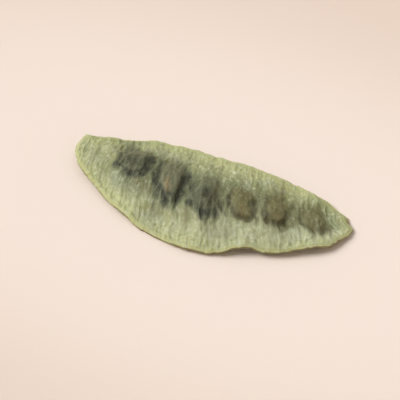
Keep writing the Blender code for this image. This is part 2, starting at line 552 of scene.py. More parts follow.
    def stain_marks(self, disc: Disc, shift: Array) -> dict[Mark, Array]:
        """The dark stains over the seeds.

        Args:
            disc: The points.
            shift: How far the noise that bends the stains is moved, which differs from face to face.

        Returns:
            The depth in a stain, its darkness, its dark ring and its warm core at each point.
        """
        along, across = self.along_and_across(disc)
        cell_x, cell_y = along / self.bend_cell + shift, across / self.bend_cell
        bend_along, bend_across = (Noise(seed).cloud(cell_x, cell_y) for seed in self.bend_seeds)
        along = along + self.bend_reach * bend_along
        across = across + self.bend_reach * bend_across
        depth = np.full_like(along, -1.0)
        weight, darkness = np.zeros_like(along), np.zeros_like(along)
        ring, core = np.zeros_like(along), np.zeros_like(along)
        for seed, stain in zip(self.seeds(), self.stains):
            stain_depth, stain_ring, stain_core = self.stain_parts(seed, stain, along, across)
            depth = np.maximum(depth, stain_depth)
            ring = np.maximum(ring, stain_ring)
            core = np.maximum(core, stain_core)
            share = hump((along - seed.along) / self.pitch)
            weight, darkness = weight + share, darkness + share * stain.darkness
        darkness = darkness / np.maximum(weight, self.least_weight)
        return {Mark.DEPTH: depth, Mark.DARKNESS: darkness, Mark.RING: ring, Mark.CORE: core}

    def smudged_and_shaded(self, disc: Disc) -> Array:
        """The brown patches of the pale margin: streaks in the hull, and painted shade below and between the
        seeds.

        Args:
            disc: The points.

        Returns:
            How strong a patch is at each point, from 0 to 1.
        """
        along, across = self.along_and_across(disc)
        total = np.zeros_like(along)
        for brown_patch in self.smudges_and_shade:
            x = (along / MM - brown_patch.along) / brown_patch.half_width
            y = (across / MM - brown_patch.across) / brown_patch.half_length
            total = np.maximum(total, brown_patch.strength * hump(np.hypot(x, y)))
        return total

    def band(self, disc: Disc) -> Array:
        """The darker band along the row of seeds.

        Args:
            disc: The points.

        Returns:
            1 in the middle of the band, and 0 outside it.
        """
        along, across = self.along_and_across(disc)
        start = ease((along - self.band_from_x) / self.band_end_fade)
        end = ease((self.band_to_x - along) / self.band_end_fade)
        share = np.clip(disc.x, -self.band_last_share, self.band_last_share)
        half_width = self.outline.side_width(disc) * np.sqrt(1 - share**2)
        reach_down = self.band_down_share * half_width * (1 - self.band_down_lean * along / MM)
        return hump(across / np.where(across > 0, self.band_reach_up, reach_down)) * (start * end)

    def paleness(self, disc: Disc) -> Array:
        """How pale the hull is.

        Args:
            disc: The points.

        Returns:
            About 1 along the bellied edge and at the blunt end, and less along the straight edge. The
            difference is partly the hull's own tone and partly painted light and shade: the bellied margin
            grows paler towards the pointed end, where it faces up, and the straight margin is darker.
        """
        along, across = self.along_and_across(disc)
        blunt = ease((self.band_from_x - along) / self.pale_end_fade)
        # Paler on the bellied side and darker towards the straight side: partly the hull's own tone, partly
        # painted light and shade.
        lean = self.lit_margin_lean * np.maximum(along, self.lit_margin_lean_from_x) / MM
        pale = self.paleness_on_spine + np.where(across < 0, lean, 0) - across / self.pale_over
        return np.maximum(np.clip(pale, self.least_paleness, self.most_paleness), blunt)

    def brownness(self, disc: Disc) -> Array:
        """0 where stains are blue-grey, near the blunt end, and 1 where they are brown."""
        along, _ = self.along_and_across(disc)
        return ease((along - self.brown_from_x) / self.brown_over)


@dataclass(frozen=True)
class Wrinkle:
    """One set of cross wrinkles: their pitch and height in metres, and their phase in radians."""

    pitch: float
    height: float
    phase: float


@dataclass(frozen=True)
class Net:
    """One net of raised veins: its cells' size, its veins' width as a share of it, and their height."""

    cell_along: float
    cell_across: float
    width_share: float
    height: float
    seed: int
    presence_seed: int


@dataclass(frozen=True)
class Skin:
    """The low relief of the papery faces: wrinkles, veins, crinkles and the rim."""

    row: SeedRow
    edge_thickness: float = 0.66 * MM
    rim_taper: float = 0.42
    rim_taper_width: float = 0.45 * MM
    bead_height: float = 0.07 * MM
    bead_place: float = 0.96
    bead_half_width: float = 0.06
    seam_depth: float = 0.07 * MM
    seam_half_height: float = 0.5
    rounding: float = 0.16 * MM
    wrinkles: tuple[Wrinkle, ...] = (Wrinkle(2.1 * MM, 0.07 * MM, 0.6), Wrinkle(1.4 * MM, 0.045 * MM, 2.1))
    wrinkle_bend: float = 0.9
    wrinkle_bend_length: float = 3.1 * MM
    wrinkle_full_across: float = 4.0 * MM
    wrinkle_share_over_seeds: float = 0.45
    wrinkle_rim_share: float = 0.12
    face_phase: float = 2.4
    nets: tuple[Net, ...] = (
        Net(1.2 * MM, 5.0 * MM, 0.26, 0.12 * MM, 13, 17),
        Net(0.75 * MM, 2.3 * MM, 0.32, 0.06 * MM, 14, 18),
    )
    net_presence: float = 0.7
    net_presence_cell: float = 3.0 * MM
    net_mean: float = 0.22
    vein_warp: float = 0.45
    vein_warp_along: float = 2.6 * MM
    vein_warp_across: float = 3.6 * MM
    vein_warp_seed: int = 11
    crease_height: float = 0.07 * MM
    crease_along: float = 0.95 * MM
    crease_across: float = 2.9 * MM
    crease_top: float = 0.9
    crease_sharpness: float = 3.6
    crease_floor: float = -0.4
    crease_share_outside: float = 0.45
    crease_reach: float = 8.0 * MM
    crease_seed: int = 23
    crinkle_height: float = 0.085 * MM
    crinkle_along: float = 1.5 * MM
    crinkle_across: float = 2.25 * MM
    crinkle_top: float = 0.6
    crinkle_sharpness: float = 2.6
    crinkle_seed: int = 29
    contour_height: float = 0.05 * MM
    contour_rings: float = 2.3
    contour_place: float = 0.85
    contour_reach: float = 0.75
    contour_warp: float = 0.32
    contour_warp_along: float = 2.2 * MM
    contour_warp_across: float = 3.4 * MM
    contour_seed: int = 43
    fine_from_rim: float = 0.7 * MM
    noise_per_face: float = 31.7

    def fine_wrinkles(self, disc: Disc, face: Face) -> Array:
        """Cross wrinkles, strongest beside the seeds and gone at the rim.

        Args:
            disc: The points.
            face: Which face.

        Returns:
            Heights in metres.
        """
        along, across = self.row.along_and_across(disc)
        total = np.zeros_like(along)
        for wrinkle in self.wrinkles:
            bend = self.wrinkle_bend * np.sin(across / self.wrinkle_bend_length + wrinkle.phase + face.value)
            turn = 2 * np.pi * along / wrinkle.pitch + bend + self.face_phase * face.value
            total = total + wrinkle.height * np.sin(turn)
        beside = ease(np.abs(across) / self.wrinkle_full_across)
        inside = ease((1 - disc.radius) / self.wrinkle_rim_share)
        share = self.wrinkle_share_over_seeds
        return total * inside * (share + (1 - share) * beside)

    def veins(self, disc: Disc, face: Face) -> Array:
        """The raised net of cross veins.

        Args:
            disc: The points.
            face: Which face.

        Returns:
            Heights in metres, above and below the net's own average.
        """
        along, across = self.row.along_and_across(disc)
        shift = self.noise_per_face * face.value
        warp_noise = Noise(self.vein_warp_seed)
        warp = warp_noise.cloud(along / self.vein_warp_along + shift, across / self.vein_warp_across)
        warp = self.vein_warp * warp
        cell_x, cell_y = along / self.net_presence_cell, across / self.net_presence_cell + shift
        total = np.zeros_like(along)
        for net in self.nets:
            border = Noise(net.seed).border(along / net.cell_along + warp + shift, across / net.cell_across)
            present = ease(self.net_presence + Noise(net.presence_seed).wave(cell_x, cell_y))
            total = total + net.height * (hump(border / net.width_share) * present - self.net_mean)
        return total

    def creases(self, disc: Disc, face: Face) -> Array:
        """Sharp little cross creases, densest in the band of the seeds.

        Args:
            disc: The points.
            face: Which face.

        Returns:
            Heights from -1 to 1.
        """
        along, across = self.row.along_and_across(disc)
        shift = self.noise_per_face * face.value
        noise = Noise(self.crease_seed)
        wave = noise.cloud(along / self.crease_along + shift, across / self.crease_across, 2)
        ridge = self.crease_top - self.crease_sharpness * np.abs(wave)
        ridge = np.clip(ridge, self.crease_floor, self.crease_top)
        share = self.crease_share_outside
        return ridge * (share + (1 - share) * hump(across / self.crease_reach))

    def crinkles(self, disc: Disc, face: Face) -> Array:
        """Papery unevenness with sharp folds.

        Args:
            disc: The points.
            face: Which face.

        Returns:
            Heights from about -1 to 1.
        """
        along, across = self.row.along_and_across(disc)
        shift = self.noise_per_face * face.value
        noise = Noise(self.crinkle_seed)
        wave = noise.cloud(along / self.crinkle_along + shift, across / self.crinkle_across)
        return self.crinkle_top - self.crinkle_sharpness * np.abs(wave)

    def contours(self, disc: Disc, face: Face) -> Array:
        """Low ripples that run round the seeds.

        Args:
            disc: The points.
            face: Which face.

        Returns:
            Heights from -1 to 1.
        """
        along, across = self.row.along_and_across(disc)
        distance = np.full_like(along, FAR)
        for seed in self.row.seeds():
            distance = np.minimum(distance, self.row.distance(disc, seed))
        shift = self.noise_per_face * face.value
        cell_x, cell_y = along / self.contour_warp_along + shift, across / self.contour_warp_across
        distance = distance + self.contour_warp * Noise(self.contour_seed).cloud(cell_x, cell_y)
        reach = hump((distance - self.contour_place) / self.contour_reach)
        return np.cos(2 * np.pi * self.contour_rings * distance) * reach

    def thinning(self, disc: Disc) -> Array:
        """The share of the margin's thickness that is left as it thins out to the rim."""
        close = 1 - self.row.outline.rim_distance(disc) / self.rim_taper_width
        return 1 - self.rim_taper * ease(close)

    def fine_relief(self, disc: Disc, face: Face) -> Array:
        """The finest relief of a face: its veins, creases, folds and the ripples round its seeds.

        Args:
            disc: The points.
            face: Which face.

        Returns:
            Heights in metres.
        """
        fine = self.veins(disc, face) + self.crease_height * self.creases(disc, face)
        fine = fine + self.crinkle_height * self.crinkles(disc, face)
        return fine + self.contour_height * self.contours(disc, face)

    def half_thickness(self, disc: Disc, face: Face, calm: Array) -> Array:
        """How far a face stands off the middle surface.

        Args:
            disc: The points.
            face: Which face.
            calm: 1 where the finest relief is left out, on the flats that the pod rests on, and 0 elsewhere.

        Returns:
            Distances in metres.
        """
        bead = self.bead_height * hump((disc.radius - self.bead_place) / self.bead_half_width)
        coarse = self.row.swelling(disc) + self.row.rib_height * self.row.ribs(disc)
        coarse = np.maximum(coarse + self.fine_wrinkles(disc, face) + bead, 0)
        inside = ease(self.row.outline.rim_distance(disc) / self.fine_from_rim)
        fine = self.fine_relief(disc, face) * inside * (1 - calm)
        return (self.edge_thickness / 2 + coarse) * self.thinning(disc) + fine


@dataclass(frozen=True)
class Lie:
    """How the pod lies: its arch, the crests and waves of its edge, and the three flats that it rests on."""

    skin: Skin
    arch_height: float = 2.2 * MM
    arch_power: int = 3
    edge_lift: float = 0.35 * MM
    ripple_power: int = 4
    margin_wave_height: float = 0.14 * MM
    margin_wave_across: float = 6.5 * MM
    margin_wave_reach: float = 4.0 * MM
    buckle_height: float = 0.22 * MM
    buckle_cell: float = 3.4 * MM
    buckle_layers: int = 2
    buckle_seed: int = 37
    clearance: float = 0.2 * MM
    foot_angles: tuple[float, ...] = (15, 135, 255)
    foot_share: float = 0.92
    foot_flat_radius: float = 1.3 * MM
    foot_blend_radius: float = 4.2 * MM

    def settled(self, disc: Disc) -> Array:
        """Where the flats of the three low spots are.

        Args:
            disc: The points.

        Returns:
            1 on the flat under each low spot, falling to 0 round it.
        """
        outline = self.skin.row.outline
        x, y = outline.plan(disc)
        share = np.zeros_like(x)
        for degrees in self.foot_angles:
            angle = np.radians([degrees])
            foot = Disc(self.foot_share * np.cos(angle), self.foot_share * np.sin(angle))
            foot_x, foot_y = outline.plan(foot)
            distance = np.hypot(x - foot_x, y - foot_y)
            fade = (self.foot_blend_radius - distance) / (self.foot_blend_radius - self.foot_flat_radius)
            share = np.maximum(share, ease(fade))
        return share

    def middle(self, disc: Disc, under: Array, settled: Array) -> Array:
        """Height of the middle surface.

        Args:
            disc: The points.
            under: How far the under face stands off the middle surface at each point.
            settled: What settled() gives for the points.

        Returns:
            Heights in metres, with the under face at 0 on the flats.
        """
        row = self.skin.row
        along, across = row.along_and_across(disc)
        arch = self.arch_height * (1 - disc.radius**self.arch_power) ** 2
        turn = np.radians(len(self.foot_angles) * disc.angle_from(self.foot_angles[0]))
        crests = self.edge_lift * (1 - np.cos(turn)) * ease(disc.radius)
        ripple = row.outline.ripple_height * row.outline.ripple(disc) * disc.radius**self.ripple_power
        reach = hump((np.abs(across) - self.margin_wave_across) / self.margin_wave_reach)
        wave = self.margin_wave_height * reach * np.cos(2 * np.pi * (along - row.first_x) / row.pitch)
        cell_x, cell_y = along / self.buckle_cell, across / self.buckle_cell
        buckle = self.buckle_height * Noise(self.buckle_seed).cloud(cell_x, cell_y, self.buckle_layers)
        height = self.skin.edge_thickness / 2 + self.clearance + arch + crests + ripple + wave + buckle
        return height - (height - under) * settled


@dataclass(frozen=True)
class Value:
    """One number that varies over a surface. Python's operators add the Math nodes that work out new ones."""

    shader: Shader
    socket: bpy.types.NodeSocket

    def __add__(self, other: Value | float) -> Value:
        """Sum."""
        return self.shader.math("ADD", self, other)

    def __radd__(self, other: float) -> Value:
        """Sum, with the number first."""
        return self.shader.math("ADD", other, self)

    def __sub__(self, other: Value | float) -> Value:
        """Difference."""
        return self.shader.math("SUBTRACT", self, other)

    def __rsub__(self, other: float) -> Value:
        """Difference, with the number first."""
        return self.shader.math("SUBTRACT", other, self)

    def __mul__(self, other: Value | float) -> Value:
        """Product."""
        return self.shader.math("MULTIPLY", self, other)

    def __rmul__(self, other: float) -> Value:
        """Product, with the number first."""
        return self.shader.math("MULTIPLY", other, self)

    def capped(self) -> Value:
        """This number, held between 0 and 1."""
        return self.shader.math("MINIMUM", self.shader.math("MAXIMUM", self, 0.0), 1.0)


class Shader:
    """One material's nodes, round its Principled BSDF."""

    def __init__(self, name: str) -> None:
        """Makes the material.

        Args:
            name: The material's name.
        """
        self.material = bpy.data.materials.new(name)
        self.material.use_nodes = True
        self.tree = self.material.node_tree
        self.surface = self.tree.nodes["Principled BSDF"]

    def node(self, kind: str, settings: dict[str, Any], inputs: dict[str | int, Any]) -> bpy.types.Node:
        """Adds a node.

        Args:
            kind: The node's type.
            settings: Its properties, which are set first.
            inputs: A number, colour or link for each socket, by name or place.

        Returns:
            The node.
        """
        made = self.tree.nodes.new(kind)
        for name, setting in settings.items():
            setattr(made, name, setting)
        self.feed_all(made, inputs)
        return made

    def feed_all(self, node: bpy.types.Node, inputs: dict[str | int, Any]) -> None:
        """Feeds sockets of a node, given by name or place."""
        for name, source in inputs.items():
            self.feed(node.inputs[name], source)

    def feed(self, socket: bpy.types.NodeSocket, source: Any) -> None:
        """Links a socket, or sets it.

        Args:
            socket: The socket.
            source: A value or another socket to link it to, or a number, vector or colour to set it to.
        """
        if isinstance(source, Value):
            source = source.socket
        if isinstance(source, bpy.types.NodeSocket):
            self.tree.links.new(source, socket)
        elif isinstance(source, tuple) and len(source) == 3 and socket.type == "RGBA":
            socket.default_value = (*source, 1.0)
        else:
            socket.default_value = source

    def math(self, operation: str, first: Value | float, second: Value | float) -> Value:
        """The value that a Math node works out from two others."""
        made = self.node("ShaderNodeMath", {"operation": operation}, {0: first, 1: second})
        return Value(self, made.outputs[0])

    def between(self, value: Value, low: float, high: float) -> Value:
        """A smooth step.

        Args:
            value: What the step is worked out from.
            low: Where the step is 0. It may lie above high, and the step then runs the other way.
            high: Where the step is 1.

        Returns:
            0 where the value is at low or before it, 1 where it is at high or past it, and smooth in between.
        """
        inputs = {"Value": value, "From Min": low, "From Max": high}
        made = self.node("ShaderNodeMapRange", {"interpolation_type": "SMOOTHSTEP"}, inputs)
        return Value(self, made.outputs["Result"])

    def mix(self, mask: Value, base: Any, over: Any) -> bpy.types.NodeSocket:
        """Mixes two colours.

        Args:
            mask: 0 for all of the first colour and 1 for all of the second.
            base: The first colour.
            over: The second colour.

        Returns:
            The mixed colour.
        """
        # A Mix node's factor and colours are its sockets 0, 6 and 7, and the mixed colour is its output 2.
        return self.node("ShaderNodeMix", {"data_type": "RGBA"}, {0: mask, 6: base, 7: over}).outputs[2]

    def finished(self, inputs: dict[str, Any]) -> bpy.types.Material:
        """The material, with these numbers, colours and links fed to its surface."""
        self.feed_all(self.surface, inputs)
        return self.material


@dataclass(frozen=True)
class Pattern:
    """How one noise is drawn: how its coordinates are stretched and moved, and its own settings."""

    stretch: Triple = (1, 1, 1)
    shift: Triple = (0, 0, 0)
    scale: float = 1.0
    detail: float = 3.0
    roughness: float = 0.55


class Texture(Enum):
    """The noises of the pod's finish, from the largest to the finest."""

    PATCHES = Pattern((0.16, 0.2, 1), (9, 4, 0), detail=2.0, roughness=0.5)
    BARS = Pattern((0.42, 0.09, 1), (5, 2, 0), detail=2.0, roughness=0.5)
    MOTTLE = Pattern(scale=0.34, detail=4.0, roughness=0.62)
    STREAKS = Pattern((1.1, 0.24, 1), detail=4.0, roughness=0.62)
    SPECKS = Pattern(scale=1.1, detail=2.0)
    FLECKS = Pattern(scale=1.5, roughness=0.65)
    THREADS = Pattern((3.6, 0.7, 1), (3, 8, 0), roughness=0.6)


# A blend names the noises that are added up, and how strong each is in it.
Blend = tuple[tuple[Texture, float], ...]


@dataclass(frozen=True)
class Fade:
    """How a mask comes in: at which level it starts, at which it is full, and how strong it is there."""

    start: float
    full: float
    share: float = 1.0


class Coat(Shader):
    """The pod's material: the marks that the mesh carries, noises, and a colour that is laid on in layers."""

    def __init__(self, name: str, base: Colour) -> None:
        """Makes the material and draws its noises.

        Args:
            name: The material's name.
            base: The colour under all the others.
        """
        super().__init__(name)
        self.colour: Any = base
        self.noises = {texture: self.drawn(texture.value) for texture in Texture}

    def carried(self, mark: Mark) -> Any:
        """The outputs of a node that reads what the mesh carries."""
        return self.node("ShaderNodeAttribute", {"attribute_name": mark.value}, {}).outputs

    def mark(self, mark: Mark) -> Value:
        """A number that the mesh carries at each point."""
        return Value(self, self.carried(mark)["Fac"])

    def stretched(self, factors: Triple, shift: Triple = (0, 0, 0)) -> bpy.types.NodeSocket:
        """The grain's coordinates, times a factor along each axis and plus a shift."""
        inputs = {0: self.carried(Mark.GRAIN)["Vector"], 1: factors, 2: shift}
        return self.node("ShaderNodeVectorMath", {"operation": "MULTIPLY_ADD"}, inputs).outputs[0]

    def drawn(self, pattern: Pattern) -> Value:
        """Draws a noise.

        Args:
            pattern: How it is drawn.

        Returns:
            Numbers from 0 to 1, about 0.5 on average.
        """
        inputs = {
            "Vector": self.stretched(pattern.stretch, pattern.shift),
            "Scale": pattern.scale,
            "Detail": pattern.detail,
            "Roughness": pattern.roughness,
        }
        return Value(self, self.node("ShaderNodeTexNoise", {}, inputs).outputs[0])

    def net(self, factors: Triple, width: float) -> Value:
        """Draws a net of fine veins, along the borders of random cells.

        Args:
            factors: How many cells there are to a millimetre along each axis of the grain.
            width: The veins' half width, as a share of a cell.

        Returns:
            1 on the borders, and 0 further from them than the half width.
        """
        inputs = {"Vector": self.stretched(factors), "Scale": 1.0}
        made = self.node("ShaderNodeTexVoronoi", {"feature": "DISTANCE_TO_EDGE"}, inputs)
        return self.between(Value(self, made.outputs["Distance"]), width, 0.0)

    def uneven(self, blend: Blend) -> Value:
        """The noises of a blend, added up, 0 on average."""
        return sum((self.noises[texture] - 0.5) * strength for texture, strength in blend)

    def faded(self, level: Value, fade: Fade) -> Value:
        """The mask that a fade gives at each level."""
        return self.between(level, fade.start, fade.full) * fade.share

    def lay(self, mask: Value, colour: Any) -> None:
        """Lays a colour over those that are there, as far as a mask says."""
        self.colour = self.mix(mask, self.colour, colour)


@dataclass(frozen=True)
class PodFinish:
    """The dry, papery finish of the pod: sage and olive, pale at the rim, with dark stains over the seeds."""

    sage: Colour = (0.432, 0.457, 0.268)
    olive: Colour = (0.312, 0.330, 0.142)
    straw: Colour = (0.50, 0.52, 0.225)
    bloom: Colour = (0.55, 0.59, 0.42)
    ash: Colour = (0.40, 0.43, 0.30)
    band_olive: Colour = (0.128, 0.147, 0.062)
    slate: Colour = (0.014, 0.018, 0.007)
    umber: Colour = (0.050, 0.046, 0.014)
    slate_core: Colour = (0.122, 0.126, 0.070)
    umber_core: Colour = (0.128, 0.113, 0.037)
    ochre: Colour = (0.34, 0.20, 0.065)
    rim_brown: Colour = (0.17, 0.112, 0.045)
    hull_blend: Blend = ((Texture.MOTTLE, 2.2), (Texture.FLECKS, 1.1), (Texture.PATCHES, 2.0))
    patch_blend: Blend = ((Texture.MOTTLE, 0.5),)
    straw_fade: Fade = Fade(0.5, 0.72, 0.4)
    ash_fade: Fade = Fade(0.5, 0.32, 0.45)
    margin_blend: Blend = ((Texture.MOTTLE, 3.0),)
    margin_fade: Fade = Fade(3.0, 0.2, 0.6)
    band_gain: float = 1.2
    band_blend: Blend = ((Texture.STREAKS, 0.9), (Texture.BARS, 0.9), (Texture.MOTTLE, 0.7))
    band_ridge_fade: Fade = Fade(-0.4, 1.3, 0.2)
    band_least: float = 0.05
    band_share: float = 0.8
    dryness_blend: Blend = ((Texture.THREADS, 0.8),)
    dry_fade: Fade = Fade(0.52, 0.76, 0.75)
    damp_fade: Fade = Fade(0.46, 0.26, 0.45)
    rib_share: float = 0.12
    ragged_blend: Blend = (
        (Texture.MOTTLE, 0.8),
        (Texture.STREAKS, 0.8),
        (Texture.BARS, 0.7),
        (Texture.FLECKS, 0.5),
    )
    smudge_and_shade_fade: Fade = Fade(-0.6, 0.1, 0.75)
    stain_fade: Fade = Fade(-0.2, 0.65)
    stain_share: float = 0.86
    ring_gain: float = 1.35
    ring_ragged_gain: float = 1.5
    ring_stain_gain: float = 1.4
    ring_share: float = 0.92
    core_fade: Fade = Fade(-0.2, 0.3, 0.6)
    vein_fade: Fade = Fade(0.0, 0.8, 0.12)
    net_cells: Triple = (1.9, 0.85, 1)
    net_width: float = 0.12
    net_share: float = 0.07
    rim_blend: Blend = ((Texture.FLECKS, 1.2),)
    groove_outer_fade: Fade = Fade(0.35, 0.65, 0.12)
    groove_inner_fade: Fade = Fade(1.3, 0.75)
    edge_fade: Fade = Fade(0.45, 0.05, 0.5)
    wall_fade: Fade = Fade(0.4, 0.54, 0.8)
    scar_share: float = 0.8
    speck_fade: Fade = Fade(0.68, 0.74, 0.4)
    roughness: float = 0.64
    roughness_blend: Blend = ((Texture.FLECKS, 0.25),)
    specular: float = 0.35
    bump_blend: Blend = ((Texture.THREADS, 0.6), (Texture.FLECKS, 0.6))
    bump_net_share: float = 0.35
    bump_strength: float = 0.5
    bump_height: float = 0.08 * MM

    def material(self) -> bpy.types.Material:
        """Makes the pod's material.

        Returns:
            The material, which reads the marks that the mesh carries.
        """
        coat = Coat("papery_pod", self.olive)
        net = coat.net(self.net_cells, self.net_width)
        self.lay_hull(coat)
        self.lay_band(coat)
        self.lay_flecks(coat)
        self.lay_stains(coat)
        # Raised veins are laid paler: partly their own colour, partly a painted highlight on their crests.
        # The fine net is laid paler as well.
        coat.lay(coat.faded(coat.mark(Mark.VEIN), self.vein_fade) + net * self.net_share, self.sage)
        self.lay_rim(coat)
        coat.lay(coat.faded(coat.noises[Texture.SPECKS], self.speck_fade), self.ochre)
        height = coat.uneven(self.bump_blend) + net * self.bump_net_share
        inputs = {"Strength": self.bump_strength, "Distance": self.bump_height, "Height": height}
        return coat.finished(
            {
                "Base Color": coat.colour,
                "Roughness": self.roughness + coat.uneven(self.roughness_blend),
                "Specular IOR Level": self.specular,
                "Normal": coat.node("ShaderNodeBump", {}, inputs).outputs["Normal"],
            }
        )

    def lay_hull(self, coat: Coat) -> None:
        """Lays the hull's own colours: sage and bloom, with straw and ash in patches and straw at the rim.

        Args:
            coat: The material, with olive as its colour.
        """
        pale = coat.mark(Mark.PALE) + coat.uneven(self.hull_blend)
        coat.lay(pale.capped(), self.sage)
        coat.lay((pale - 1).capped(), self.bloom)
        patches, uneven = coat.noises[Texture.PATCHES], coat.uneven(self.patch_blend)
        coat.lay(coat.faded(patches + uneven, self.straw_fade), self.straw)
        coat.lay(coat.faded(patches - uneven, self.ash_fade), self.ash)
        margin = coat.mark(Mark.RIM) + coat.uneven(self.margin_blend)
        coat.lay(coat.faded(margin, self.margin_fade), self.straw)

    def lay_band(self, coat: Coat) -> None:
        """Lays the darker band along the seeds, which is thinner on top of the relief and thicker in its
        hollows.
        The band is the hull's own colour; its darkening in the hollows is painted shade.

        Args:
            coat: The material.
        """
        band = coat.mark(Mark.BAND) * self.band_gain + coat.uneven(self.band_blend)
        # Thinning the band on the relief's ridges paints shade into its hollows.
        ridge = coat.faded(coat.mark(Mark.RELIEF), self.band_ridge_fade)
        coat.lay((band - ridge + self.band_least).capped() * self.band_share, self.band_olive)

    def lay_flecks(self, coat: Coat) -> None:
        """Lays pale dry flecks, the ribs between the seeds, and darker flecks.

        Args:
            coat: The material.
        """
        dryness = coat.noises[Texture.FLECKS] + coat.uneven(self.dryness_blend)
        coat.lay(coat.faded(dryness, self.dry_fade), self.bloom)
        coat.lay(coat.mark(Mark.RIB) * self.rib_share, self.sage)
        coat.lay(coat.faded(dryness, self.damp_fade), self.band_olive)

    def lay_stains(self, coat: Coat) -> None:
        """Lays the brown patches, which are streaks in the hull and painted shade below and between the
        seeds, and
        the stains over the seeds: dark, uneven rings round warmer cores, whose darker right and lower sides
        are partly painted shade.

        Args:
            coat: The material.
        """
        ragged = coat.uneven(self.ragged_blend)
        brown = coat.mark(Mark.BROWN)
        # Brown patches: streaks in the hull, and painted shade below and between the seeds.
        coat.lay(coat.mark(Mark.SMUDGE_AND_SHADE) * coat.faded(ragged, self.smudge_and_shade_fade), self.umber_core)
        stain = coat.faded(coat.mark(Mark.DEPTH) + ragged, self.stain_fade) * coat.mark(Mark.DARKNESS)
        coat.lay(stain * self.stain_share, coat.mix(brown, self.slate_core, self.umber_core))
        ring = (coat.mark(Mark.RING) * (self.ring_gain + ragged * self.ring_ragged_gain)).capped()
        ring = ring * (stain * self.ring_stain_gain).capped()
        coat.lay(ring * self.ring_share, coat.mix(brown, self.slate, self.umber))
        coat.lay(coat.mark(Mark.CORE) * coat.faded(ragged, self.core_fade), self.ochre)

    def lay_rim(self, coat: Coat) -> None:
        """Lays the rim: a darker groove inside it, straw on it, a brown line in it and the brown stalk scar.

        Args:
            coat: The material.
        """
        rim = coat.mark(Mark.RIM) + coat.uneven(self.rim_blend)
        groove = coat.faded(rim, self.groove_outer_fade) * coat.faded(rim, self.groove_inner_fade)
        coat.lay(groove, self.band_olive)
        coat.lay(coat.faded(rim, self.edge_fade), self.straw)
        line = coat.mark(Mark.WALL) * coat.faded(coat.noises[Texture.MOTTLE], self.wall_fade)
        coat.lay(line, self.rim_brown)
        coat.lay(coat.mark(Mark.SCAR) * self.scar_share, self.rim_brown)


